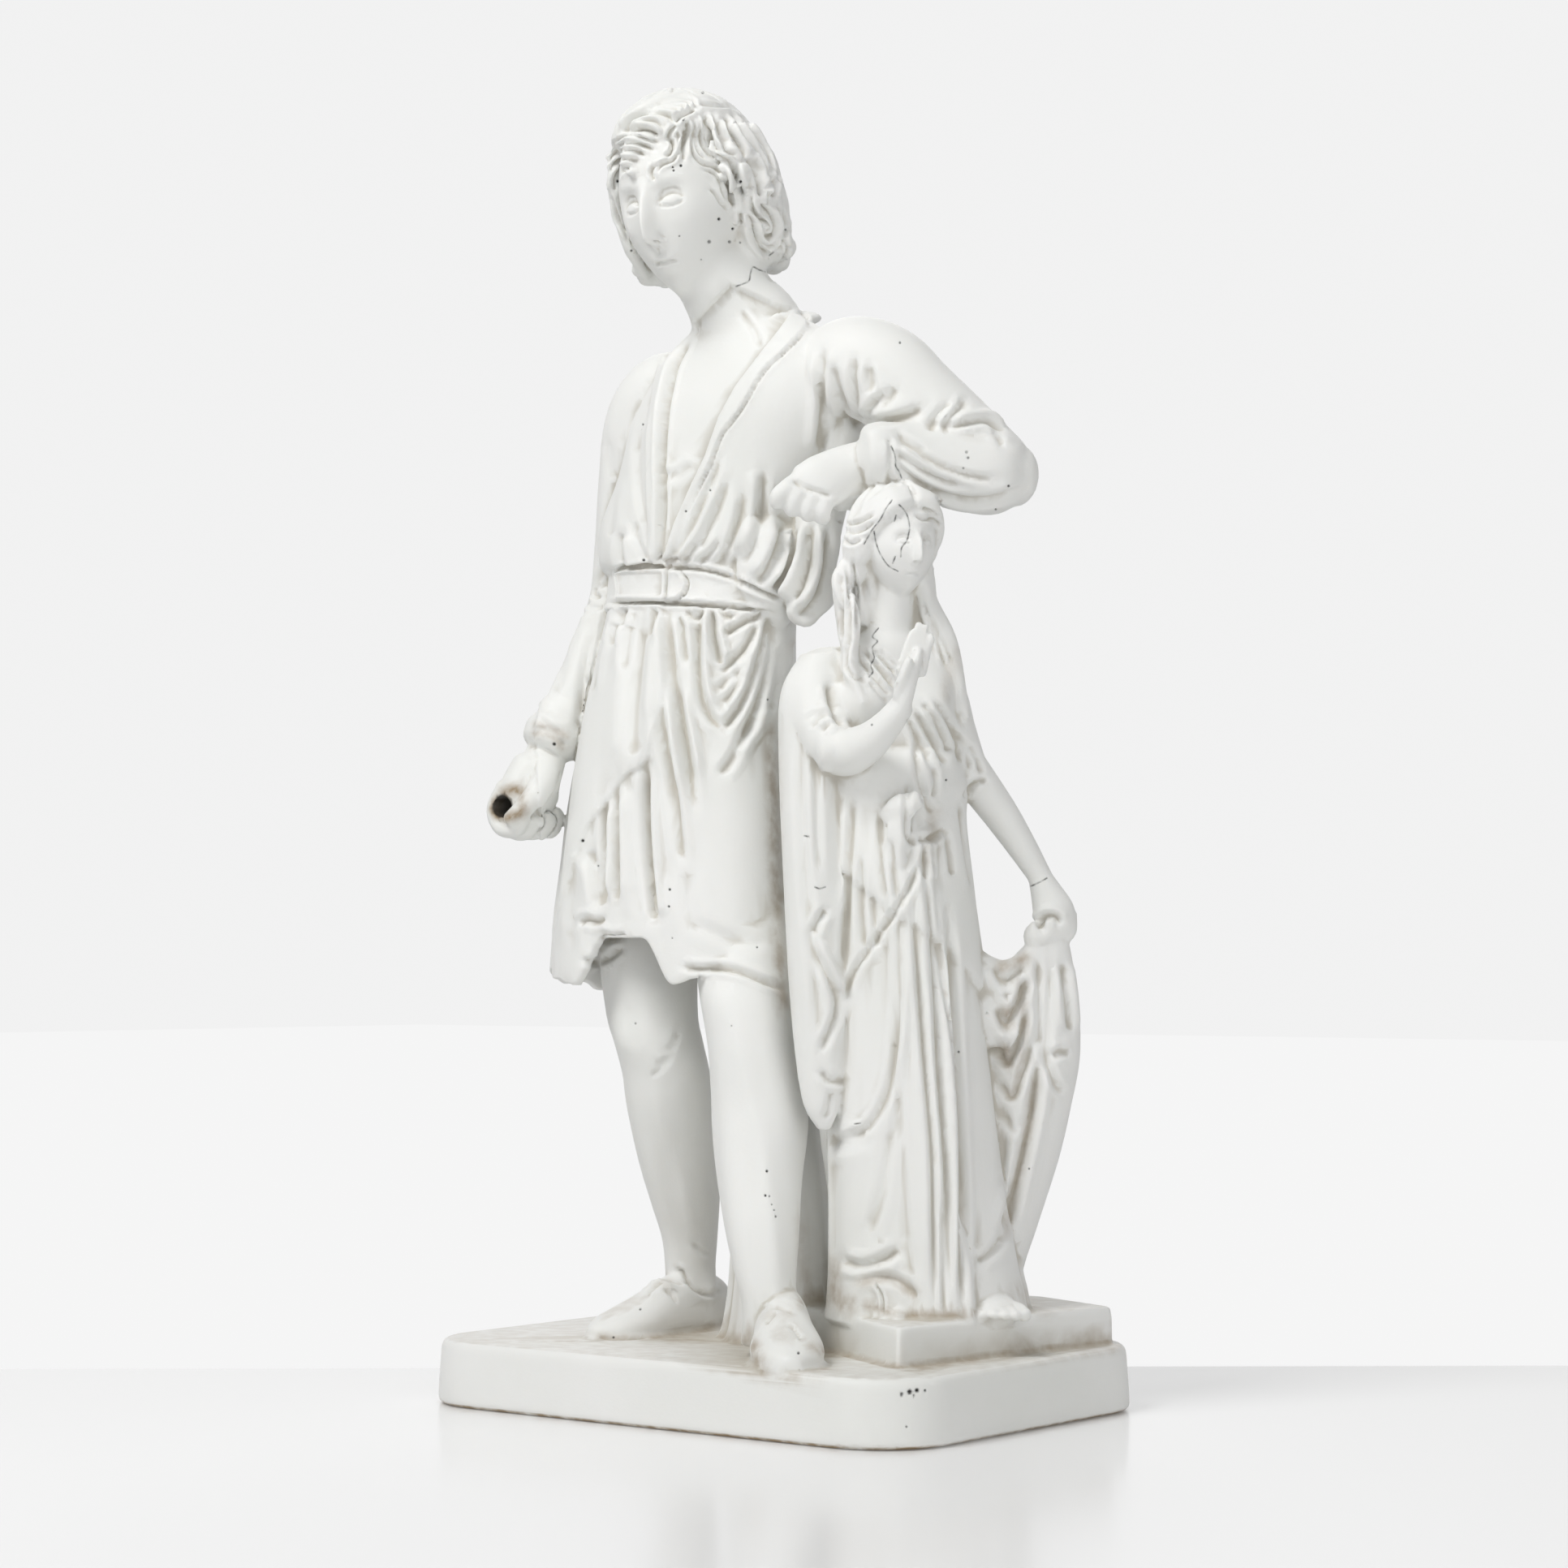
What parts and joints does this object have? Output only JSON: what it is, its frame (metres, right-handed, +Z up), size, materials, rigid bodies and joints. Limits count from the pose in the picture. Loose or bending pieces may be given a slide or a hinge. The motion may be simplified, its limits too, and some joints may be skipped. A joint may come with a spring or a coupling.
{
  "type": "parian figure",
  "caption": "Unglazed porcelain figure of a standing sculptor in a belted smock who leans on a small draped statue, made together with its plinth",
  "frame": {"origin": "Middle of the plinth's underside, at the bottom of the bounding box", "axes": "+Z up, the man looks along -Y, +X is to his left, towards the small statue"},
  "size_m": [0.228, 0.163, 0.4949],
  "materials": {
    "bisque": "matt unglazed porcelain, slightly translucent"
  },
  "bodies": {
    "root": {"parian_group": "bisque"}
  },
  "joints": []
}
